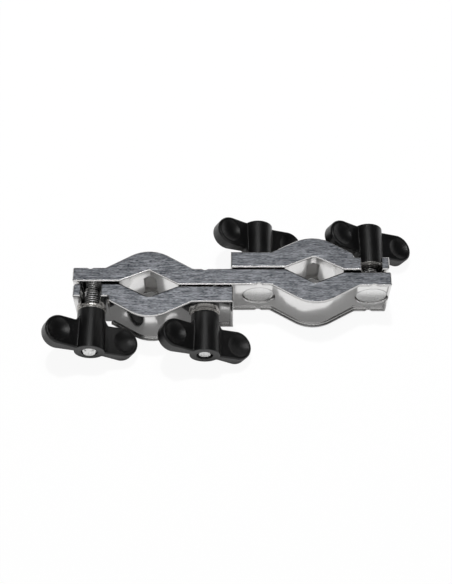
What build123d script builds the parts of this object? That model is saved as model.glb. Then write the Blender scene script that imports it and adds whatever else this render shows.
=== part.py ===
"""A double clamp for drum hardware: one cast S-shaped bar with a V jaw near each end, a loose V jaw bolted
against each of them, and four wing nuts. The left clamp opens to the front and the right clamp to the back.

Millimetres. X runs along the bar, Y to the back, Z up. The origin is under the middle of the bar, on the
surface that it lies on. Everything that belongs to a clamp is drawn once, for the front clamp at the left,
and the back clamp at the right is the same thing after half a turn about Z.
"""

import os
from math import cos, radians, sin, sqrt

from build123d import *

# Bar: the cast piece that carries a fixed jaw for each clamp
bar_length = 169.2
bar_height = 31.0
bar_thickness = 9.6
ear_back = 5.5
ear_front = -2.7

# Bolts: two for each clamp, both at half the height of the bar
bolt_height = bar_height / 2
inner_bolt_x = -14.4
outer_bolt_x = -75.3

# V grips of the fixed and the loose jaw
v_centre_x = -44.0
v_half_width = 15.6
fixed_v_depth = 6.4
fixed_bulge_half_width = 23.3
fixed_bulge_corner = 18.5
loose_v_depth = 8.0
loose_v_round = 4.0
loose_bulge_half_width = 22.9
loose_bulge_corner = 26.4
bulge_round = 20.0
root_round = 2.5
bar_end_round = 1.0

# Loose jaw
jaw_length = 84.6
jaw_past_middle = 0.6
jaw_end_round = 2.0
jaw_outer_gap = 1.5
jaw_inner_gap = 0.9
jaw_outer_thickness = 8.8
jaw_inner_thickness = 9.3

# Casting: chamfered edges, and an outer side that is sunk between thin rims
edge_chamfer = 0.6
recess_depth = 1.3
rim_height = 1.3
end_rim = 1.6
recess_past_middle = 0.2
rim_notch_radius = 2.2
rim_notch_depth = 1.1

# Pocket in the bottom of each V
pocket_width = 6.2
pocket_height = 17.0
pocket_depth = 1.8
pocket_flare = 1.6

# Bolt: flat round head, square neck, plain shank, thread
bolt_diameter = 8.0
bolt_length = 39.0
thread_diameter = 7.8
plain_length = 4.0
bolt_end_chamfer = 1.0
head_diameter = 17.0
head_thickness = 2.2
head_edge = 0.5
head_sunk = 2.1
head_clearance = 0.3
neck_side = 8.0
neck_length = 2.6
neck_clearance = 0.05
bolt_clearance = 0.05

# Washer
washer_diameter = 16.0
washer_thickness = 1.3
washer_hole_clearance = 0.2

# Loose jaw: bolt hole, open slot and the way out of them
jaw_hole_clearance = 0.3
slot_width = 9.6
swing_clearance = 0.35
swing_out_angle = 34.0
seat_runout = 1.0

# Wing nut: plastic moulding
hub_root_diameter = 13.8
hub_end_diameter = 15.4
hub_length = 23.4
hub_edge = 0.5
end_hole_diameter = 8.8
lobe_radius = 8.2
lobe_reach = 17.8
wing_root_thickness = 5.4
wing_tip_thickness = 7.8
wing_root_reach = 9.0
wing_bend = 8.0
wing_edge = 0.7
dish_diameter = 11.5
dish_depth = 1.5
wing_tilt = 27.0

# Wing nut: metal insert
flange_diameter = 14.6
flange_thickness = 0.7
sleeve_diameter = 11.2
sleeve_length = 19.2
sleeve_clearance = 0.05
thread_clearance = 0.05

# Distances in front of the bar's middle plane, worked out from the sizes above
bar_side = bar_thickness / 2
jaw_outer_back = -ear_front + jaw_outer_gap
jaw_inner_back = bar_side + jaw_inner_gap
jaw_outer_front = jaw_outer_back + jaw_outer_thickness
jaw_inner_front = jaw_inner_back + jaw_inner_thickness
ear_end_x = -bar_length / 2
jaw_end_x = jaw_past_middle - jaw_length
pivot_reach = inner_bolt_x - outer_bolt_x

# Longer than any cut through the clamp has to be
cut_length = 2 * (loose_bulge_corner + fixed_bulge_corner)


def front_plane(distance, turn=0):
    """An upright plane that faces the nuts of the front clamp, or of the back clamp after half a turn."""
    return Plane.XZ.rotated((0, 0, turn)).offset(distance)


def moved_in(corners, distance):
    """The corners of a run of straight lines, moved to the right of its direction by one distance."""
    normals = []
    for (x0, y0), (x1, y1) in zip(corners, corners[1:]):
        length = sqrt((x1 - x0) ** 2 + (y1 - y0) ** 2)
        normals.append(((y1 - y0) / length, (x0 - x1) / length))
    moved = []
    for (x, y), (ax, ay), (bx, by) in zip(corners, normals[:1] + normals, normals + normals[-1:]):
        share = distance / (1 + ax * bx + ay * by)
        moved.append((x + share * (ax + bx), y + share * (ay + by)))
    return moved


def half_turn(corners):
    """The same corners after half a turn about the origin."""
    return [(-x, -y) for x, y in corners]


def fixed_outer_side():
    """Corners of the back of the left fixed jaw, from its ear to the middle of the bar."""
    return [
        (ear_end_x, ear_back),
        (v_centre_x - fixed_bulge_half_width, ear_back),
        (v_centre_x, fixed_bulge_corner),
        (v_centre_x + fixed_bulge_half_width, bar_side),
        (0, bar_side),
    ]


def loose_outer_side():
    """Corners of the front of the loose jaw, from its inner end to its slotted ear."""
    return [
        (jaw_past_middle, -jaw_inner_front),
        (v_centre_x + loose_bulge_half_width, -jaw_inner_front),
        (v_centre_x, -loose_bulge_corner),
        (v_centre_x - loose_bulge_half_width, -jaw_outer_front),
        (jaw_end_x, -jaw_outer_front),
    ]


def bar_corners():
    """Corners of the bar seen from above, with the radius of each."""
    fixed_v = [
        (v_centre_x + v_half_width, -bar_side),
        (v_centre_x, ear_front + fixed_v_depth),
        (v_centre_x - v_half_width, ear_front),
        (ear_end_x, ear_front),
    ]
    side = fixed_outer_side()[:-1]
    side_radii = [bar_end_round, root_round, bulge_round, root_round]
    v_radii = [0, 0, 0, bar_end_round]
    corners = side + half_turn(fixed_v) + half_turn(side) + fixed_v
    return corners, 2 * (side_radii + v_radii)


def jaw_corners():
    """Corners of the loose jaw seen from above, with the radius of each."""
    loose_v = [
        (jaw_end_x, -jaw_outer_back),
        (v_centre_x - v_half_width, -jaw_outer_back),
        (v_centre_x, -jaw_outer_back - loose_v_depth),
        (v_centre_x + v_half_width, -jaw_inner_back),
        (jaw_past_middle, -jaw_inner_back),
    ]
    v_radii = [jaw_end_round, 0, loose_v_round, 0, 0]
    side_radii = [0, root_round, bulge_round, root_round, jaw_end_round]
    return loose_v + loose_outer_side(), v_radii + side_radii


def make_side_recess(side, ends):
    """The space between the rims of an outer side: all that lies outside the sunk side, between two ends."""
    sunk = moved_in(side, recess_depth)
    outside = side[2][1] + recess_depth * side[2][1] / abs(side[2][1])
    first, last = ends
    with BuildPart() as recess:
        with BuildSketch(Plane.XY.offset(rim_height)):
            with BuildLine():
                line = FilletPolyline(
                    (first, sunk[0][1]),
                    *sunk[1:-1],
                    (last, sunk[-1][1]),
                    radius=[root_round + recess_depth, bulge_round - recess_depth, root_round + recess_depth],
                )
                Polyline(line @ 1, (last, outside), (first, outside), line @ 0)
            make_face()
        extrude(amount=bar_height - 2 * rim_height)
    return recess.part


def make_pocket(opening_y, bottom_y):
    """The pocket in the bottom of a V, wider at its mouth at the lower end, where the mould was drawn."""
    low = bolt_height - pocket_height / 2
    high = bolt_height + pocket_height / 2
    half = pocket_width / 2
    with BuildPart() as pocket:
        with BuildSketch(Plane.XZ.offset(-bottom_y)):
            with BuildLine():
                Polyline(
                    (v_centre_x - half - pocket_flare, low),
                    (v_centre_x + half + pocket_flare, low),
                    (v_centre_x + half, low + 2 * pocket_flare),
                    (v_centre_x + half, high),
                    (v_centre_x - half, high),
                    (v_centre_x - half, low + 2 * pocket_flare),
                    close=True,
                )
            make_face()
        extrude(amount=bottom_y - opening_y)
    return pocket.part


def make_rim_notches():
    """Round notches across the rims, above and below each bolt head of the left fixed jaw."""
    centre_out = rim_notch_radius - rim_notch_depth
    with BuildPart() as notches:
        with BuildSketch():
            with Locations((inner_bolt_x, bar_side + centre_out), (outer_bolt_x, ear_back + centre_out)):
                Circle(rim_notch_radius)
        extrude(amount=bar_height)
    return notches.part


def make_bar():
    """The cast bar: outline, sunk sides, V pockets, bolt holes and seats for the bolt heads."""
    corners, radii = bar_corners()
    recess = make_side_recess(fixed_outer_side(), (ear_end_x + end_rim, -recess_past_middle))
    v_bottom = ear_front + fixed_v_depth
    pocket = make_pocket(ear_front, v_bottom + pocket_depth)
    notches = make_rim_notches()
    with BuildPart() as bar:
        with BuildSketch():
            with BuildLine():
                FilletPolyline(*corners, radius=radii, close=True)
            make_face()
        extrude(amount=bar_height)
        rim_edges = bar.faces().sort_by(Axis.Z)[0].edges() + bar.faces().sort_by(Axis.Z)[-1].edges()
        chamfer(rim_edges, edge_chamfer)
        for turn in (0, 180):
            add(recess.rotate(Axis.Z, turn), mode=Mode.SUBTRACT)
            add(pocket.rotate(Axis.Z, turn), mode=Mode.SUBTRACT)
            add(notches.rotate(Axis.Z, turn), mode=Mode.SUBTRACT)
            for x, side in ((inner_bolt_x, bar_side), (outer_bolt_x, ear_back)):
                seat = side - head_sunk - head_thickness
                with BuildSketch(front_plane(-side, turn)):
                    with Locations((x, bolt_height)):
                        Circle(head_diameter / 2 + head_clearance)
                extrude(amount=side - seat, mode=Mode.SUBTRACT)
                with BuildSketch(front_plane(-seat, turn)):
                    with Locations((x, bolt_height)):
                        Rectangle(neck_side + 2 * neck_clearance, neck_side + 2 * neck_clearance)
                extrude(amount=neck_length, mode=Mode.SUBTRACT)
                with BuildSketch(front_plane(-seat, turn)):
                    with Locations((x, bolt_height)):
                        Circle(bolt_diameter / 2 + bolt_clearance)
                extrude(amount=cut_length, mode=Mode.SUBTRACT)
    return bar.part


def make_jaw():
    """The loose jaw of the front clamp: outline, sunk side, V pocket, bolt hole and open slot.

    Its slotted ear is milled flat at the washer's seat, from the end of the jaw to just past the washer, so
    that the washer can slide off it.
    """
    corners, radii = jaw_corners()
    recess = make_side_recess(loose_outer_side(), (jaw_past_middle - end_rim, jaw_end_x))
    v_bottom = -jaw_outer_back - loose_v_depth
    pocket = make_pocket(v_bottom - pocket_depth, -jaw_outer_back)
    inner_seat = jaw_inner_front - recess_depth
    outer_seat = jaw_outer_front - recess_depth
    seat_end_x = outer_bolt_x + washer_diameter / 2 + swing_clearance + seat_runout
    swing_path = CenterArc((inner_bolt_x, bolt_height), pivot_reach, 180 - swing_out_angle, swing_out_angle)
    with BuildPart() as jaw:
        with BuildSketch():
            with BuildLine():
                FilletPolyline(*corners, radius=radii, close=True)
            make_face()
        extrude(amount=bar_height)
        with BuildSketch(front_plane(outer_seat)):
            with Locations((seat_end_x, bolt_height)):
                Rectangle(jaw_length, 2 * bar_height, align=(Align.MAX, Align.CENTER))
        extrude(amount=cut_length, mode=Mode.SUBTRACT)
        rim_edges = jaw.faces().sort_by(Axis.Z)[0].edges() + jaw.faces().sort_by(Axis.Z)[-1].edges()
        chamfer(rim_edges, edge_chamfer)
        add(recess, mode=Mode.SUBTRACT)
        add(pocket, mode=Mode.SUBTRACT)
        with BuildSketch(front_plane(0)):
            with Locations((inner_bolt_x, bolt_height)):
                Circle(bolt_diameter / 2 + jaw_hole_clearance)
        extrude(amount=cut_length, mode=Mode.SUBTRACT)
        with BuildSketch(front_plane(0)):
            with Locations((outer_bolt_x, bolt_height)):
                Circle(slot_width / 2)
            with Locations((outer_bolt_x, bolt_height + bar_height / 2)):
                Rectangle(slot_width, bar_height)
            SlotArc(swing_path, bolt_diameter + 2 * swing_clearance)
        extrude(amount=cut_length, mode=Mode.SUBTRACT)
        with BuildSketch(front_plane(inner_seat)):
            with Locations((inner_bolt_x, bolt_height)):
                Circle(washer_diameter / 2 + swing_clearance)
        extrude(amount=cut_length, mode=Mode.SUBTRACT)
        with BuildSketch(front_plane(outer_seat)):
            SlotArc(swing_path, washer_diameter + 2 * swing_clearance)
        extrude(amount=cut_length, mode=Mode.SUBTRACT)
    return jaw.part


def make_bolt():
    """A bolt along Z: the head's seat is at zero, the head below it and the shank above."""
    radius = bolt_diameter / 2
    with BuildPart() as bolt:
        with BuildSketch(Plane.XY.offset(-head_thickness)):
            Circle(head_diameter / 2)
        extrude(amount=head_thickness)
        chamfer(bolt.faces().sort_by(Axis.Z)[0].edges(), head_edge)
        with BuildSketch():
            Rectangle(neck_side, neck_side)
        extrude(amount=neck_length)
        with BuildSketch():
            Circle(radius)
        extrude(amount=plain_length)
        with BuildSketch():
            Circle(thread_diameter / 2)
        extrude(amount=bolt_length)
        chamfer(bolt.faces().sort_by(Axis.Z)[-1].edges(), bolt_end_chamfer)
    return bolt.part


def make_washer():
    """A plain washer along Z, lying on its seat at zero."""
    with BuildPart() as washer:
        with BuildSketch():
            Circle(washer_diameter / 2)
            Circle(bolt_diameter / 2 + washer_hole_clearance, mode=Mode.SUBTRACT)
        extrude(amount=washer_thickness)
    return washer.part


def make_insert():
    """The threaded insert along Z: its flange stands on the washer at zero."""
    with BuildPart() as insert:
        with BuildSketch():
            Circle(flange_diameter / 2)
        extrude(amount=flange_thickness)
        with BuildSketch(Plane.XY.offset(flange_thickness)):
            Circle(sleeve_diameter / 2)
        extrude(amount=sleeve_length)
        with BuildSketch():
            Circle(bolt_diameter / 2 + thread_clearance)
        extrude(amount=flange_thickness + sleeve_length, mode=Mode.SUBTRACT)
    return insert.part


def make_wing():
    """The plastic moulding along Z, standing on the insert's flange at zero, with its wings along X."""
    lobe_height = hub_length - lobe_radius
    wing_reach = lobe_reach + lobe_radius
    root = wing_root_thickness / 2
    tip = wing_tip_thickness / 2
    upper = [
        (wing_reach, tip),
        (lobe_reach, tip),
        (wing_root_reach, root),
        (-wing_root_reach, root),
        (-lobe_reach, tip),
        (-wing_reach, tip),
    ]
    bends = 2 * [0, wing_bend, wing_bend, wing_bend, wing_bend, 0]
    with BuildPart() as hub:
        Cone(
            bottom_radius=hub_root_diameter / 2,
            top_radius=hub_end_diameter / 2,
            height=hub_length,
            align=(Align.CENTER, Align.CENTER, Align.MIN),
        )
        fillet(hub.faces().sort_by(Axis.Z)[-1].edges(), hub_edge)
    with BuildPart() as wing:
        with BuildSketch(Plane.XZ):
            with Locations((0, lobe_height)):
                SlotCenterToCenter(2 * lobe_reach, 2 * lobe_radius)
        extrude(amount=wing_tip_thickness, both=True)
        with BuildSketch():
            with BuildLine():
                FilletPolyline(*(upper + half_turn(upper)), radius=bends, close=True)
            make_face()
        extrude(amount=hub_length, mode=Mode.INTERSECT)
        rim = wing.edges().filter_by(Axis.Z, reverse=True).filter_by(Axis.Y, reverse=True)
        chamfer(rim, wing_edge)
        dish_sphere = (dish_diameter ** 2 / 4 + dish_depth ** 2) / (2 * dish_depth)
        for side in (-1, 1):
            with Locations(
                (lobe_reach, side * (tip + dish_sphere - dish_depth), lobe_height),
                (-lobe_reach, side * (tip + dish_sphere - dish_depth), lobe_height),
            ):
                Sphere(dish_sphere, mode=Mode.SUBTRACT)
        add(hub.part)
        with BuildSketch():
            Circle(sleeve_diameter / 2 + sleeve_clearance)
        extrude(amount=sleeve_length, mode=Mode.SUBTRACT)
        with BuildSketch():
            Circle(end_hole_diameter / 2)
        extrude(amount=hub_length, mode=Mode.SUBTRACT)
    return wing.part


def write(name, shape):
    """One STEP file for one piece; its name is the name of the piece."""
    shape.label = name
    export_step(shape, f"parts/{name}.step")
    print(f"{name}: {shape.volume / 1000:.2f} cm3, {len(shape.solids())} solid")


def axis_plane(x, distance, turn, tilt=0):
    """A plane square to a bolt, with its origin on the bolt's axis and X along a wing."""
    lean = radians(tilt)
    base = front_plane(distance, turn)
    sideways = Vector(-cos(lean), 0, sin(lean))
    return Plane(origin=base.from_local_coords(Vector(x, bolt_height, 0)), x_dir=sideways, z_dir=base.z_dir)


os.makedirs("parts", exist_ok=True)
write("clamp_body", make_bar())
jaw = make_jaw()
bolt = make_bolt()
washer = make_washer()
insert = make_insert()
wing = make_wing()

for clamp, turn in (("front", 0), ("back", 180)):
    write(f"{clamp}_jaw", jaw.rotate(Axis.Z, turn))
    for place, x, side, jaw_front in (
        ("inner", inner_bolt_x, bar_side, jaw_inner_front),
        ("outer", outer_bolt_x, ear_back, jaw_outer_front),
    ):
        head_seat = head_sunk + head_thickness - side
        washer_seat = jaw_front - recess_depth
        flange_seat = washer_seat + washer_thickness
        hub_seat = flange_seat + flange_thickness
        write(f"{clamp}_{place}_bolt", axis_plane(x, head_seat, turn).location * bolt)
        write(f"{clamp}_{place}_washer", axis_plane(x, washer_seat, turn).location * washer)
        write(f"{clamp}_{place}_insert", axis_plane(x, flange_seat, turn).location * insert)
        write(f"{clamp}_{place}_wing", axis_plane(x, hub_seat, turn, wing_tilt).location * wing)
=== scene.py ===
# %% [markdown]
# # A double clamp for drum hardware
# Two V grips, one at each end of a cast bar, each closed by a loose jaw on two bolts with wing nuts. The
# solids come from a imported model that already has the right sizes, so this lesson gives them their finishes
# and remodels the small turned and moulded parts, whose threads and rounded edges are too fine for the packed
# solids. Lengths are in metres throughout.

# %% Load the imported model
import math

import bpy
from mathutils import Matrix, Vector


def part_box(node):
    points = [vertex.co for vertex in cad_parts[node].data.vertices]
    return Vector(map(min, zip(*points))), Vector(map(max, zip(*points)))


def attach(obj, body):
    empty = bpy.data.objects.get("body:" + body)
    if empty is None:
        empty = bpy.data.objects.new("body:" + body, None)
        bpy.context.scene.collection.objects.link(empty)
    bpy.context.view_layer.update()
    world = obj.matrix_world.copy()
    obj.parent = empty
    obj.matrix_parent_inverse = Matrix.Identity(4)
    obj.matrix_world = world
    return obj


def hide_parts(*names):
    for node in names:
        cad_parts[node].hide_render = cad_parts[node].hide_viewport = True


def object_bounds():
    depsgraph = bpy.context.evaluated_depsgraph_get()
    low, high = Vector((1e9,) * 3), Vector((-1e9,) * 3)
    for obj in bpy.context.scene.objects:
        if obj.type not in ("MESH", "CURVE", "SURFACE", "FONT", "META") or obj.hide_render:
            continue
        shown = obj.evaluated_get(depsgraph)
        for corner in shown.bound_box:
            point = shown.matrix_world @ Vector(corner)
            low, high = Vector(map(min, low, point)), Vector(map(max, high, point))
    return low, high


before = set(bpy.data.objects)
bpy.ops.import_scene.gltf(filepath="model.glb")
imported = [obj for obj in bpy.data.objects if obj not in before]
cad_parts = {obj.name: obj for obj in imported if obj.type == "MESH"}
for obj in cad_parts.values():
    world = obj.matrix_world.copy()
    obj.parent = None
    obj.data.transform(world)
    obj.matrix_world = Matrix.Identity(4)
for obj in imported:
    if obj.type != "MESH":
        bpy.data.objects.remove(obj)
cad_low, cad_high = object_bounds()
print("packed model, size in mm:", [round(1000 * side, 1) for side in cad_high - cad_low])

# %% [markdown]
# ## The camera
# The photograph looks down on the clamp from in front, about 62 degrees above the table. The lens is long, so
# the bar hardly narrows towards the back. The camera is put at its distance from a point near the middle of
# the clamp and turned about X alone, which keeps the bar level in the picture.

# %% Camera
view_elevation = math.radians(62.4)
view_distance = 0.6
aim_point = Vector((-0.0032, -0.0074, 0.0271))
lens_length, film_height = 69.8, 36
towards_camera = Vector((0, -math.cos(view_elevation), math.sin(view_elevation)))
bpy.ops.object.camera_add(
    location=aim_point + view_distance * towards_camera,
    rotation=(math.pi / 2 - view_elevation, 0, 0),
)
camera = bpy.context.object
camera.data.sensor_fit = "VERTICAL"
camera.data.sensor_height = film_height
camera.data.lens = lens_length
bpy.context.scene.camera = camera

# %% [markdown]
# ## Helpers for nodes
# Every finish below is a small tree of nodes round one Principled shader. These short helpers keep the trees
# readable. Each adds one node and returns its result, and an input is either a plain value or the result of
# another node. What is the same all over a piece is set on the shader's own socket.


# %% Node helpers
def feed(tree, socket, value):
    """Links the socket to the result of another node, or sets it to a plain value."""
    if hasattr(value, "is_output"):
        tree.links.new(value, socket)
    else:
        socket.default_value = value


def add_node(tree, kind, inputs=None, **settings):
    """A new node with its settings and its inputs."""
    node = tree.nodes.new(kind)
    for name, value in settings.items():
        setattr(node, name, value)
    for name, value in (inputs or {}).items():
        feed(tree, node.inputs[name], value)
    return node


def new_material(name, base_color, metallic, roughness):
    """A material with one Principled shader and plain values, which its own nodes may vary later.

    It returns the material and the shader.
    """
    material = bpy.data.materials.new(name)
    material.use_nodes = True
    shader = material.node_tree.nodes["Principled BSDF"]
    shader.inputs["Base Color"].default_value = (*base_color, 1)
    shader.inputs["Metallic"].default_value = metallic
    shader.inputs["Roughness"].default_value = roughness
    return material, shader


def axes_of(tree, kind):
    """X, Y and Z of a place (Object) or normal (Normal) on the piece, or of a sky direction (Generated)."""
    place = add_node(tree, "ShaderNodeTexCoord")
    return add_node(tree, "ShaderNodeSeparateXYZ", {"Vector": place.outputs[kind]}).outputs


def grain(tree, waves_per_metre, detail):
    """Noise on the piece's own coordinates, with so many waves to the metre along X, Y and Z."""
    place = add_node(tree, "ShaderNodeTexCoord")
    spread = {"Vector": place.outputs["Object"], "Scale": waves_per_metre}
    mapping = add_node(tree, "ShaderNodeMapping", spread)
    noise = {"Vector": mapping.outputs["Vector"], "Scale": 1.0, "Detail": detail}
    return add_node(tree, "ShaderNodeTexNoise", noise).outputs["Fac"]


def compute(tree, operation, *inputs):
    """The result of one Math node, with its inputs in order."""
    return add_node(tree, "ShaderNodeMath", dict(enumerate(inputs)), operation=operation).outputs[0]


def remap(tree, value, low, high, from_low=0.3, from_high=0.7):
    """The value stretched from one range to another, and held at its ends.

    Noise lies mostly between 0.3 and 0.7, so that is the range it starts from where none is given.
    """
    ends = {"From Min": from_low, "From Max": from_high, "To Min": low, "To Max": high}
    return add_node(tree, "ShaderNodeMapRange", {"Value": value, **ends}).outputs["Result"]


def mix_value(tree, factor, low, high):
    """One value where the factor is 0 and another where it is 1."""
    node = add_node(tree, "ShaderNodeMix", {"Factor": factor, "A": low, "B": high}, data_type="FLOAT")
    return node.outputs["Result"]


def mix_color(tree, factor, low, high):
    """One colour where the factor is 0 and another where it is 1."""
    node = add_node(tree, "ShaderNodeMix", {"Factor": factor}, data_type="RGBA")
    for index, color in ((6, low), (7, high)):
        feed(tree, node.inputs[index], color if hasattr(color, "is_output") else (*color, 1))
    return node.outputs[2]


def bumps(tree, height, strength, distance, on_normal=None):
    """The normal of small bumps of the given height, on top of another normal where one is given."""
    inputs = {"Height": height, "Strength": strength, "Distance": distance}
    if on_normal is not None:
        inputs["Normal"] = on_normal
    return add_node(tree, "ShaderNodeBump", inputs).outputs["Normal"]


# %% [markdown]
# ## Cast aluminium
# The top and bottom of the castings were ground on a belt along the bar, and their sides were polished. A
# belt leaves short fine scratches, so the ground faces get noise that is stretched along X, in their colour,
# roughness and bump. The side faces get a low roughness and a very slight waviness instead. The piece's own
# normal and height tell the two apart, also when a jaw is swung out: a ground face is level and is the
# highest or lowest one, so that the ledges of the sunk sides stay polished. The pockets in the V jaws stay
# dull, as they were cast. The Bevel node rounds the look of the small chamfers, which tumbling left soft on
# the real castings.

# %% Cast aluminium
ground_limit = 0.9
half_height = (cad_high.z - cad_low.z) / 2
belt_reach = 0.0003
grip_x, grip_offset = 0.044, 0.00425
pocket_middle, pocket_half_depth, pocket_half_width = 0.0089, 0.0009, 0.0049

plain_aluminium, aluminium_roughness = (0.6, 0.61, 0.64), 0.3
scratch_waves, fine_scratch_waves, fine_share = (240, 1700, 500), (700, 3400, 900), 0.45
scratch_contrast = (0.38, 0.62)
scratch_dark, scratch_bright = (0.05, 0.056, 0.067), (0.36, 0.372, 0.398)
scratch_strength, scratch_height = 0.4, 0.00008
cloud_waves, cloud_contrast, cloud_share = (16, 40, 16), (0.35, 0.65), 0.25
cloud_color = (0.26, 0.27, 0.29)
ground_rough, ground_smooth = 0.54, 0.4

speck_waves = (2600, 2600, 2600)
side_dark, side_bright = (0.66, 0.655, 0.65), (0.76, 0.755, 0.75)
side_smooth, side_rough = 0.08, 0.13
side_waves, side_strength, side_wave_height = (70, 70, 40), 0.25, 0.0002
pocket_color, pocket_metallic, pocket_roughness = (0.8, 0.79, 0.775), 0.15, 0.6
soft_edge, soft_edge_samples = 0.0007, 8


def ground_mask(tree):
    """1 on the ground top and bottom and 0 elsewhere."""
    upright = compute(tree, "ABSOLUTE", axes_of(tree, "Normal")["Z"])
    level_face = compute(tree, "GREATER_THAN", upright, ground_limit)
    from_middle = compute(tree, "SUBTRACT", axes_of(tree, "Object")["Z"], half_height)
    from_middle = compute(tree, "ABSOLUTE", from_middle)
    outermost = compute(tree, "GREATER_THAN", from_middle, half_height - belt_reach)
    return compute(tree, "MULTIPLY", level_face, outermost)


def pocket_mask(tree):
    """1 in the small pockets at the bottom of the V jaws and 0 elsewhere."""
    own = axes_of(tree, "Object")
    end = compute(tree, "SIGN", own["X"])
    across = compute(tree, "MULTIPLY_ADD", own["Y"], end, -grip_offset)
    across = compute(tree, "ABSOLUTE", across)
    along = compute(tree, "ABSOLUTE", own["X"])
    near_bottom = compute(tree, "COMPARE", across, pocket_middle, pocket_half_depth)
    near_centre = compute(tree, "COMPARE", along, grip_x, pocket_half_width)
    return compute(tree, "MULTIPLY", near_bottom, near_centre)


def make_cast_aluminium():
    """Belt scratches on the ground faces, a polish on the sides and a dull cast skin in the pockets."""
    material, shader = new_material("cast_aluminium", plain_aluminium, 1.0, aluminium_roughness)
    tree = material.node_tree
    ground = ground_mask(tree)
    in_pocket = pocket_mask(tree)

    scratches = grain(tree, scratch_waves, detail=3.0)
    fine_scratches = grain(tree, fine_scratch_waves, detail=2.0)
    both = mix_value(tree, fine_share, scratches, fine_scratches)
    clouds = grain(tree, cloud_waves, detail=1.0)
    waviness = grain(tree, side_waves, detail=1.0)
    specks = grain(tree, speck_waves, detail=1.0)

    scratch_tone = remap(tree, both, 0.0, 1.0, *scratch_contrast)
    scratched = mix_color(tree, scratch_tone, scratch_dark, scratch_bright)
    clouded = mix_color(tree, remap(tree, clouds, 0.0, cloud_share, *cloud_contrast), scratched, cloud_color)
    polished = mix_color(tree, remap(tree, specks, 0.0, 1.0), side_dark, side_bright)
    side_color = mix_color(tree, in_pocket, polished, pocket_color)
    feed(tree, shader.inputs["Base Color"], mix_color(tree, ground, side_color, clouded))
    feed(tree, shader.inputs["Metallic"], mix_value(tree, in_pocket, 1.0, pocket_metallic))

    ground_roughness = remap(tree, both, ground_rough, ground_smooth)
    polish = remap(tree, specks, side_smooth, side_rough)
    side_roughness = mix_value(tree, in_pocket, polish, pocket_roughness)
    feed(tree, shader.inputs["Roughness"], mix_value(tree, ground, side_roughness, ground_roughness))

    edge = add_node(tree, "ShaderNodeBevel", {"Radius": soft_edge}, samples=soft_edge_samples)
    soft = edge.outputs["Normal"]
    side_normal = bumps(tree, waviness, side_strength, side_wave_height, on_normal=soft)
    scratch_normal = bumps(tree, both, scratch_strength, scratch_height, on_normal=soft)
    normals = {"Factor": ground, 4: side_normal, 5: scratch_normal}
    either = add_node(tree, "ShaderNodeMix", normals, data_type="VECTOR")
    feed(tree, shader.inputs["Normal"], either.outputs[1])
    return material


cast_aluminium = make_cast_aluminium()

# %% [markdown]
# ## Plated steel
# Bolts, washers and inserts are turned steel with a bright plating. It is smoother than the castings, so its
# roughness stays low, and fine noise in roughness and bump breaks its reflections up as real plating does.
# The roots of a thread get a darker colour by depth, which is painted shade where little light reaches. The
# thread carries its own depth as an attribute for that, and on a piece without the attribute it reads as zero.

# %% Plated steel
plating_waves = (1500, 1500, 1500)
plating_shine, darker_share = 0.88, 0.8
# The root tone is painted shade: the roots of a thread are darkened by their depth.
root_shade_share, root_shade_from, root_shade_to = 0.04, 0.2, 0.6
plating_strength, plating_height = 0.12, 0.00003


def make_plated_steel(name, base_color, smooth, rough):
    """Bright plating, with painted shade in the roots of a thread."""
    material, shader = new_material(name, base_color, plating_shine, smooth)
    tree = material.node_tree
    cloud = grain(tree, plating_waves, detail=3.0)
    feed(tree, shader.inputs["Roughness"], remap(tree, cloud, smooth, rough))
    darker = tuple(darker_share * part for part in base_color)
    # Painted shade: the colour darkens from the crest down to the root.
    root_shade_color = tuple(root_shade_share * part for part in base_color)
    plated = mix_color(tree, remap(tree, cloud, 0.0, 1.0), darker, base_color)
    depth = add_node(tree, "ShaderNodeAttribute", attribute_name="thread_depth")
    root_shade_amount = remap(tree, depth.outputs["Fac"], 0.0, 1.0, root_shade_from, root_shade_to)
    feed(tree, shader.inputs["Base Color"], mix_color(tree, root_shade_amount, plated, root_shade_color))
    feed(tree, shader.inputs["Normal"], bumps(tree, cloud, plating_strength, plating_height))
    return material


bolt_steel = make_plated_steel("bolt_steel", (0.9, 0.9, 0.895), smooth=0.24, rough=0.34)
# The washers' darker plating is painted shade for the hub that stands over them.
washer_steel = make_plated_steel("washer_steel", (0.5, 0.485, 0.465), smooth=0.14, rough=0.26)
insert_steel = make_plated_steel("insert_steel", (0.66, 0.65, 0.62), smooth=0.2, rough=0.34)

# %% [markdown]
# ## Black moulding
# The wing nuts are moulded in black plastic from a lightly textured mould. A grain of about half a millimetre
# in the bump makes their highlights soft and slightly speckled, and a second, coarser noise keeps the gloss
# from being even all over.

# %% Black moulding
mould_grain_waves, mould_strength, mould_height = (2200, 2200, 2200), 0.6, 0.00012
plain_black, mould_roughness = (0.001, 0.001, 0.0011), 0.36
black_dark, black_bright = (0.0005, 0.0005, 0.0006), (0.002, 0.002, 0.0022)
gloss_waves, mould_smooth, mould_rough = (120, 120, 120), 0.32, 0.42


def make_black_plastic():
    """Black plastic with a fine grain and an uneven gloss."""
    material, shader = new_material("black_plastic", plain_black, 0.0, mould_roughness)
    tree = material.node_tree
    speckle = grain(tree, mould_grain_waves, detail=2.0)
    gloss = grain(tree, gloss_waves, detail=2.0)
    feed(tree, shader.inputs["Roughness"], remap(tree, gloss, mould_smooth, mould_rough))
    tone = mix_color(tree, remap(tree, speckle, 0.0, 1.0), black_dark, black_bright)
    feed(tree, shader.inputs["Base Color"], tone)
    feed(tree, shader.inputs["Normal"], bumps(tree, speckle, mould_strength, mould_height))
    return material


black_plastic = make_black_plastic()

# %% [markdown]
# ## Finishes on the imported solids
# The bar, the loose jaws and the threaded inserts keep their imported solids, because their forms are already
# the real ones, and only take a finish. The other pieces get theirs when they are remodelled below.

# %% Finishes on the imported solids
for node_name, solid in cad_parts.items():
    finish, slot_name = cast_aluminium, "cast_aluminium"
    if node_name.endswith("_insert"):
        finish, slot_name = insert_steel, "insert_steel"
    solid.data.materials.clear()
    solid.data.materials.append(finish)

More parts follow.
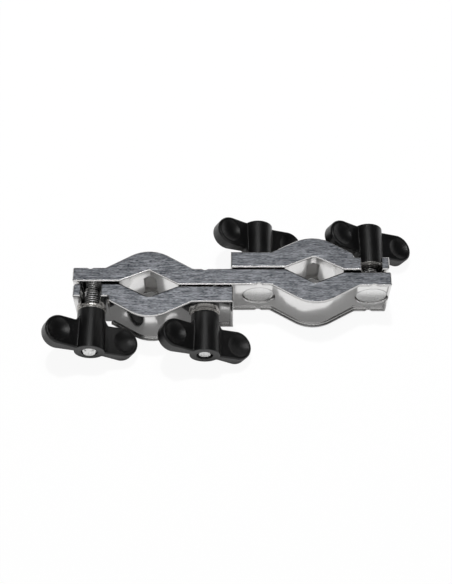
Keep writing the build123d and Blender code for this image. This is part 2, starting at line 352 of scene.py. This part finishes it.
# %% [markdown]
# ## Tools of the bench
# Each remodelled piece is made once, standing on Z with its seat at zero, and copied to its four places. A
# copy for the front clamp is tipped forwards, so that Z becomes the direction out of the clamp, and one for
# the back clamp is then turned half round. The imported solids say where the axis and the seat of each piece
# are.

# %% Tools of the bench
clamps = ("front", "back")
places = ("inner", "outer")
way_out = {"front": -1, "back": 1}
lathe_steps = 72
merge_distance = 2e-6


def select_only(piece):
    """Makes the piece the only one selected, and the active one."""
    bpy.ops.object.select_all(action="DESELECT")
    piece.select_set(True)
    bpy.context.view_layer.objects.active = piece


def apply_modifiers(piece):
    """Turns every modifier of the piece into mesh."""
    select_only(piece)
    for modifier in list(piece.modifiers):
        bpy.ops.object.modifier_apply(modifier=modifier.name)


def finish_shape(piece, smooth_angle):
    """Merges doubles, points the faces outwards and smooths across the angles that are smaller."""
    select_only(piece)
    bpy.ops.object.mode_set(mode="EDIT")
    bpy.ops.mesh.select_all(action="SELECT")
    bpy.ops.mesh.remove_doubles(threshold=merge_distance)
    bpy.ops.mesh.normals_make_consistent(inside=False)
    bpy.ops.object.mode_set(mode="OBJECT")
    bpy.ops.object.shade_smooth_by_angle(angle=math.radians(smooth_angle))


def draw_line(name, points):
    """A new piece with one run of edges through the points, left in edit mode."""
    bpy.ops.mesh.primitive_plane_add(size=0.001)
    piece = bpy.context.object
    piece.name = name
    bpy.ops.object.mode_set(mode="EDIT")
    bpy.ops.mesh.merge(type="CENTER")
    bpy.ops.transform.translate(value=points[0])
    for here, there in zip(points, points[1:]):
        bpy.ops.mesh.extrude_region_move(TRANSFORM_OT_translate={"value": there - here})
    return piece


def turned(name, profile):
    """A solid of revolution round Z from a closed run of (radius, height) points; radius 0 is on the axis."""
    piece = draw_line(name, [Vector((radius, 0, height)) for radius, height in profile])
    bpy.ops.mesh.select_all(action="SELECT")
    bpy.ops.mesh.spin(steps=lathe_steps, angle=2 * math.pi, center=(0, 0, 0), axis=(0, 0, 1))
    bpy.ops.object.mode_set(mode="OBJECT")
    finish_shape(piece, smooth_angle=40)
    return piece


def block(width, depth, low, high):
    """A box round the Z axis, from one height to another."""
    bpy.ops.mesh.primitive_cube_add(size=1, location=(0, 0, (low + high) / 2))
    piece = bpy.context.object
    piece.scale = (width, depth, high - low)
    bpy.ops.object.transform_apply(location=True, rotation=False, scale=True)
    return piece


def join(pieces):
    """All the pieces as one object, under the first one's name."""
    select_only(pieces[0])
    for piece in pieces:
        piece.select_set(True)
    bpy.ops.object.join()
    return bpy.context.object


def place_copies(model, kind, finish, body_of, seat_height=0.0, tilt=0.0):
    """Copies of the model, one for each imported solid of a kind, which they replace.

    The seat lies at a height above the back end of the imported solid, along the way out of the clamp. The tilt
    turns a piece round its own axis, so that its left end rises, as seen from in front of the clamp.
    """
    for clamp in clamps:
        for place in places:
            node_name = f"{clamp}_{place}_{kind}"
            low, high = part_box(node_name)
            middle = (low + high) / 2
            back_end = high.y if clamp == "front" else low.y
            seat = Vector((middle.x, back_end + way_out[clamp] * seat_height, middle.z))
            half_turn = math.pi if clamp == "back" else 0
            spin = Matrix.Rotation(tilt * way_out[clamp], 4, "Z")
            turn = Matrix.Rotation(half_turn, 4, "Z") @ Matrix.Rotation(math.pi / 2, 4, "X") @ spin
            piece = bpy.data.objects.new(f"{node_name}_shaped", model.data.copy())
            bpy.context.scene.collection.objects.link(piece)
            piece.data.transform(Matrix.Translation(seat) @ turn)
            piece.data.materials.clear()
            piece.data.materials.append(finish)
            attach(piece, body_of(clamp, place))
            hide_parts(node_name)
    print(kind, "copied four times, with", len(model.data.polygons), "faces each")
    bpy.data.objects.remove(model)


# %% [markdown]
# ## Bolts
# A bolt has a flat round head with a rounded edge, a square neck that keeps it from turning in the casting,
# a short plain shank and a thread up to a chamfered end. The head, the shank and the end are turned from
# outlines. The thread is the flank of one turn carried round and up by a Screw modifier, then cut off flat at
# both ends.

# %% Bolt
head_radius, head_thickness, head_round, head_lip = 0.0085, 0.0022, 0.0006, 0.0001
neck_side, neck_length, neck_round, neck_round_steps = 0.008, 0.0026, 0.0003, 2
shank_radius, shank_length = 0.004, 0.0042
bolt_length, point_length, point_radius, point_inset = 0.039, 0.0012, 0.003, 0.0001
thread_root, thread_crest, thread_pitch = 0.00335, 0.00398, 0.00125
flank_steps, crest_sharpness, thread_steps = 8, 0.8, 40
overlap = 0.00003
cut_tolerance = 1e-7
corner_steps = 4


def rounded_corner(radius, height, size, from_angle):
    """Points of a quarter circle, as (radius, height), from an angle in degrees and 90 degrees on."""
    points = []
    for step in range(corner_steps + 1):
        angle = math.radians(from_angle + 90 * step / corner_steps)
        points.append((radius + size * math.cos(angle), height + size * math.sin(angle)))
    return points


def paint_depth(thread):
    """Writes how deep each point lies in the thread, 0 at the crest and 1 at the root."""
    depth = thread.data.attributes.new("thread_depth", "FLOAT", "POINT")
    for point_data, vertex in zip(depth.data, thread.data.vertices):
        radius = math.hypot(vertex.co.x, vertex.co.y)
        point_data.value = min(1, max(0, (thread_crest - radius) / (thread_crest - thread_root)))


def make_thread():
    """The threaded stretch, from the shank to the point."""
    flank = []
    for step in range(flank_steps + 1):
        share = (1 - math.cos(2 * math.pi * step / flank_steps)) / 2
        radius = thread_root + (thread_crest - thread_root) * share ** crest_sharpness
        flank.append(Vector((radius, 0, thread_pitch * step / flank_steps)))
    thread = draw_line("thread", flank)
    bpy.ops.object.mode_set(mode="OBJECT")
    screw = thread.modifiers.new("turns", "SCREW")
    screw.axis = "Z"
    screw.angle = 2 * math.pi
    screw.screw_offset = thread_pitch
    screw.iterations = int(bolt_length / thread_pitch) + 1
    screw.steps = screw.render_steps = thread_steps
    apply_modifiers(thread)
    bpy.ops.object.mode_set(mode="EDIT")
    bpy.ops.mesh.select_all(action="SELECT")
    bpy.ops.mesh.remove_doubles(threshold=merge_distance)
    for height, above in ((shank_length - overlap, False), (bolt_length - point_length + overlap, True)):
        bpy.ops.mesh.select_all(action="SELECT")
        bpy.ops.mesh.bisect(
            plane_co=(0, 0, height),
            plane_no=(0, 0, 1),
            use_fill=True,
            clear_inner=not above,
            clear_outer=above,
            threshold=cut_tolerance,
        )
    bpy.ops.object.mode_set(mode="OBJECT")
    finish_shape(thread, smooth_angle=60)
    paint_depth(thread)
    return thread


head_bottom = -head_thickness
head_corner = rounded_corner(head_radius - head_round, head_bottom + head_round, head_round, -90)
head_rim = [(head_radius, -head_lip), (head_radius - head_lip, 0), (0, 0)]
head = turned("bolt", [(0, head_bottom)] + head_corner + head_rim)
shank_sides = [(shank_radius, -overlap), (shank_radius, shank_length)]
shank = turned("shank", [(0, -overlap)] + shank_sides + [(0, shank_length)])
point_start = bolt_length - point_length
point_sides = [(thread_crest - point_inset, point_start), (point_radius, bolt_length)]
point = turned("point", [(0, point_start)] + point_sides + [(0, bolt_length)])
neck = block(neck_side, neck_side, 0, neck_length)
neck_bevel = neck.modifiers.new("edges", "BEVEL")
neck_bevel.width = neck_round
neck_bevel.segments = neck_round_steps
apply_modifiers(neck)
bolt = join([head, neck, shank, make_thread(), point])
place_copies(
    bolt,
    "bolt",
    bolt_steel,
    lambda clamp, place: "bar",
    seat_height=head_thickness,
)

# %% [markdown]
# ## Washers
# A plain washer is stamped from sheet, which leaves its upper edge slightly round and its lower edge sharp.
# It is turned from that outline.

# %% Washer
washer_radius, washer_hole_radius, washer_thickness = 0.008, 0.0042, 0.0013
washer_round = 0.00035
round_height = washer_thickness - washer_round
outer_corner = rounded_corner(washer_radius - washer_round, round_height, washer_round, 0)
hole_corner = rounded_corner(washer_hole_radius + washer_round, round_height, washer_round, 90)
washer_foot = [(washer_hole_radius, 0), (washer_radius, 0)]
washer = turned("washer", washer_foot + outer_corner + hole_corner + washer_foot[:1])
place_copies(
    washer,
    "washer",
    washer_steel,
    lambda clamp, place: f"{clamp}_{place}_washer",
)

# %% [markdown]
# ## Wing nut mouldings
# The black moulding is a round hub with two lobes, dished on both sides for the thumb. On the real one every
# edge and every corner between hub and wing is rounded, since sharp ones would stick in the mould. The packed
# solid gives the form. A copy of it gets deeper dishes, a fuller hub and webs in its corners. Then a voxel
# remesh and a few rounds of smoothing melt all the edges and corners alike, which no bevel could do at the
# corners, and last the bore is cut.

# %% Wing nut moulding
hub_length = 0.0234
hub_root_radius, hub_end_radius = 0.00745, 0.0081
lobe_reach, lobe_height, wing_tilt = 0.0178, 0.0152, math.radians(27)
wing_tip_half = 0.0039
web_reach, web_half, web_foot = 0.0145, 0.00235, 0.0045
dish_radius, dish_depth = 0.0066, 0.0021
end_hole_radius, sleeve_hole_radius, sleeve_length = 0.0044, 0.00565, 0.0192
round_steps = 96
voxel, kept_share = 0.00024, 0.4
smooth_share, smooth_rounds = 0.5, 7


def cut(piece, cutter):
    """Cuts one closed piece with another, which is used up."""
    knife = piece.modifiers.new("cut", "BOOLEAN")
    knife.operation = "DIFFERENCE"
    knife.object = cutter
    knife.solver = "EXACT"
    apply_modifiers(piece)
    bpy.data.objects.remove(cutter)


def packed_moulding():
    """A packed moulding of the front clamp, stood on Z at the insert's flange, with its wings along X."""
    low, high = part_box("front_inner_wing")
    middle = (low + high) / 2
    to_origin = Matrix.Translation(-Vector((middle.x, high.y, middle.z)))
    upright = Matrix.Rotation(wing_tilt, 4, "Z") @ Matrix.Rotation(-math.pi / 2, 4, "X")
    moulding = bpy.data.objects.new("moulding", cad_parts["front_inner_wing"].data.copy())
    bpy.context.scene.collection.objects.link(moulding)
    moulding.data.transform(upright @ to_origin)
    finish_shape(moulding, smooth_angle=30)
    return moulding


def make_webs():
    """The webs in the corners between hub and wings, as one block that narrows to the hub at its foot."""
    webs = block(2 * web_reach, 2 * web_half, web_foot, lobe_height)
    bpy.ops.object.mode_set(mode="EDIT")
    bpy.ops.mesh.select_all(action="DESELECT")
    bpy.ops.object.mode_set(mode="OBJECT")
    for vertex in webs.data.vertices:
        vertex.select = vertex.co.z < (web_foot + lobe_height) / 2
    bpy.ops.object.mode_set(mode="EDIT")
    bpy.ops.transform.resize(value=(hub_root_radius / web_reach, 1, 1), center_override=(0, 0, 0))
    bpy.ops.object.mode_set(mode="OBJECT")
    return webs


def make_moulding():
    """The finished moulding, standing on the insert's flange at zero."""
    moulding = packed_moulding()
    dish_sphere = (dish_radius ** 2 + dish_depth ** 2) / (2 * dish_depth)
    centre_out = wing_tip_half + dish_sphere - dish_depth
    for end in (-1, 1):
        for side in (-1, 1):
            bpy.ops.mesh.primitive_uv_sphere_add(
                segments=round_steps,
                ring_count=round_steps // 2,
                radius=dish_sphere,
                location=(end * lobe_reach, side * centre_out, lobe_height),
            )
            cut(moulding, bpy.context.object)

    bpy.ops.mesh.primitive_cone_add(
        vertices=round_steps,
        radius1=hub_root_radius,
        radius2=hub_end_radius,
        depth=hub_length,
        location=(0, 0, hub_length / 2),
    )
    moulding = join([moulding, bpy.context.object, make_webs()])
    skin = moulding.modifiers.new("skin", "REMESH")
    skin.mode = "VOXEL"
    skin.voxel_size = voxel
    melt = moulding.modifiers.new("melt", "SMOOTH")
    melt.factor = smooth_share
    melt.iterations = smooth_rounds
    thin = moulding.modifiers.new("thin", "DECIMATE")
    thin.ratio = kept_share
    apply_modifiers(moulding)

    end_hole = (end_hole_radius, 2 * hub_length, hub_length / 2)
    sleeve_hole = (sleeve_hole_radius, 2 * sleeve_length, 0)
    for radius, depth, height in (end_hole, sleeve_hole):
        bpy.ops.mesh.primitive_cylinder_add(
            vertices=round_steps, radius=radius, depth=depth, location=(0, 0, height)
        )
        cut(moulding, bpy.context.object)
    finish_shape(moulding, smooth_angle=50)
    return moulding


place_copies(
    make_moulding(),
    "wing",
    black_plastic,
    lambda clamp, place: f"{clamp}_{place}_nut",
    tilt=wing_tilt,
)

# %% [markdown]
# ## Floor
# The clamp lies on a white table. The camera sees mostly plain white there, with a faint shadow. The metal
# sees the table as it is lit, with the clamp's full shadow, because the two tones on the polished sides are
# the lit table and that shadow, mirrored.

# %% Floor
floor_size = 6
white_share_for_camera = 0.93
white_share_for_metal = 0.1
bpy.ops.mesh.primitive_plane_add(size=floor_size, location=(0, 0, 0))
floor = bpy.context.object
floor.name = "floor"

floor_material, floor_shader = new_material("white_table", (0.9, 0.9, 0.9), 0.0, 0.9)
floor_tree = floor_material.node_tree
light_path = add_node(floor_tree, "ShaderNodeLightPath")
metal_share = mix_value(floor_tree, light_path.outputs["Is Glossy Ray"], 0.0, white_share_for_metal)
share = mix_value(floor_tree, light_path.outputs["Is Camera Ray"], metal_share, white_share_for_camera)
plain_white = add_node(floor_tree, "ShaderNodeEmission", {"Color": (1, 1, 1, 1), "Strength": 1.0})
blend = {0: share, 1: floor_shader.outputs[0], 2: plain_white.outputs[0]}
floor_mix = add_node(floor_tree, "ShaderNodeMixShader", blend)
feed(floor_tree, floor_tree.nodes["Material Output"].inputs["Surface"], floor_mix.outputs[0])
floor.data.materials.append(floor_material)

# %% [markdown]
# ## Sky
# The surroundings are dim at the sides and overhead, so that the black mouldings stay black. In front they
# are bright from close above the table to about 50 degrees up and fade out at about 70, which lights the
# heads of the bolts and the upper parts of the sides. Matt surfaces get one even level instead, and the
# camera sees white. Heights here are the Z of a direction, 0 at the horizon and 1 straight up, and in front
# is where its Y is below zero.

# %% Sky
side_level, side_height = 0.05, 0.1
overhead_level, overhead_height = 0.06, 0.8
front_level, matt_level, camera_level = 0.95, 0.11, 1.0
glow_starts, glow_ends, glow_sides = (0.12, 0.3), (0.88, 0.96), (-0.65, -0.3)
world = bpy.data.worlds.new("studio")
bpy.context.scene.world = world
world.use_nodes = True
sky_tree = world.node_tree
way = axes_of(sky_tree, "Generated")
level = remap(sky_tree, way["Z"], side_level, overhead_level, side_height, overhead_height)
glow_low = remap(sky_tree, way["Z"], 0.0, 1.0, *glow_starts)
glow_high = remap(sky_tree, way["Z"], 1.0, 0.0, *glow_ends)
glow_front = remap(sky_tree, way["Y"], 1.0, 0.0, *glow_sides)
glow = compute(sky_tree, "MULTIPLY", compute(sky_tree, "MULTIPLY", glow_low, glow_high), glow_front)
level = mix_value(sky_tree, glow, level, front_level)
sky_path = add_node(sky_tree, "ShaderNodeLightPath")
level = mix_value(sky_tree, sky_path.outputs["Is Diffuse Ray"], level, matt_level)
level = mix_value(sky_tree, sky_path.outputs["Is Camera Ray"], level, camera_level)
feed(sky_tree, sky_tree.nodes["Background"].inputs["Color"], level)


# %% [markdown]
# ## Lamps
# A small strong lamp stands nearly overhead and a little behind. It lights the table and throws the shadow,
# and it is hidden from reflections, so that it doesn't glare on the ground faces. A weak wide panel near it
# does show in reflections. It draws the soft bands on the hubs and in the dishes of the wing nuts, and it
# gives the ground faces their middle grey, darker towards both ends of the bar.

# %% Lamps
def add_lamp(name, place, width, depth, watts, shows_in_metal):
    """A soft lamp that faces the middle of the clamp."""
    bpy.ops.object.light_add(type="AREA", location=place)
    lamp = bpy.context.object
    lamp.name = name
    lamp.data.shape = "RECTANGLE"
    lamp.data.size = width
    lamp.data.size_y = depth
    lamp.data.energy = watts
    lamp.rotation_euler = (-Vector(place)).to_track_quat("-Z", "Y").to_euler()
    lamp.visible_glossy = shows_in_metal


add_lamp("overhead_lamp", (-0.06, 0.36, 1.35), width=0.05, depth=0.05, watts=14.0, shows_in_metal=False)
add_lamp("soft_panel", (0.0, 0.26, 1.15), width=0.45, depth=0.2, watts=3.6, shows_in_metal=True)

# %% [markdown]
# ## Finish
# The remodelled pieces are as large as the ones that they replace. The picture is shown with the Standard view
# transform.

# %% Finish
bpy.context.scene.view_settings.view_transform = "Standard"
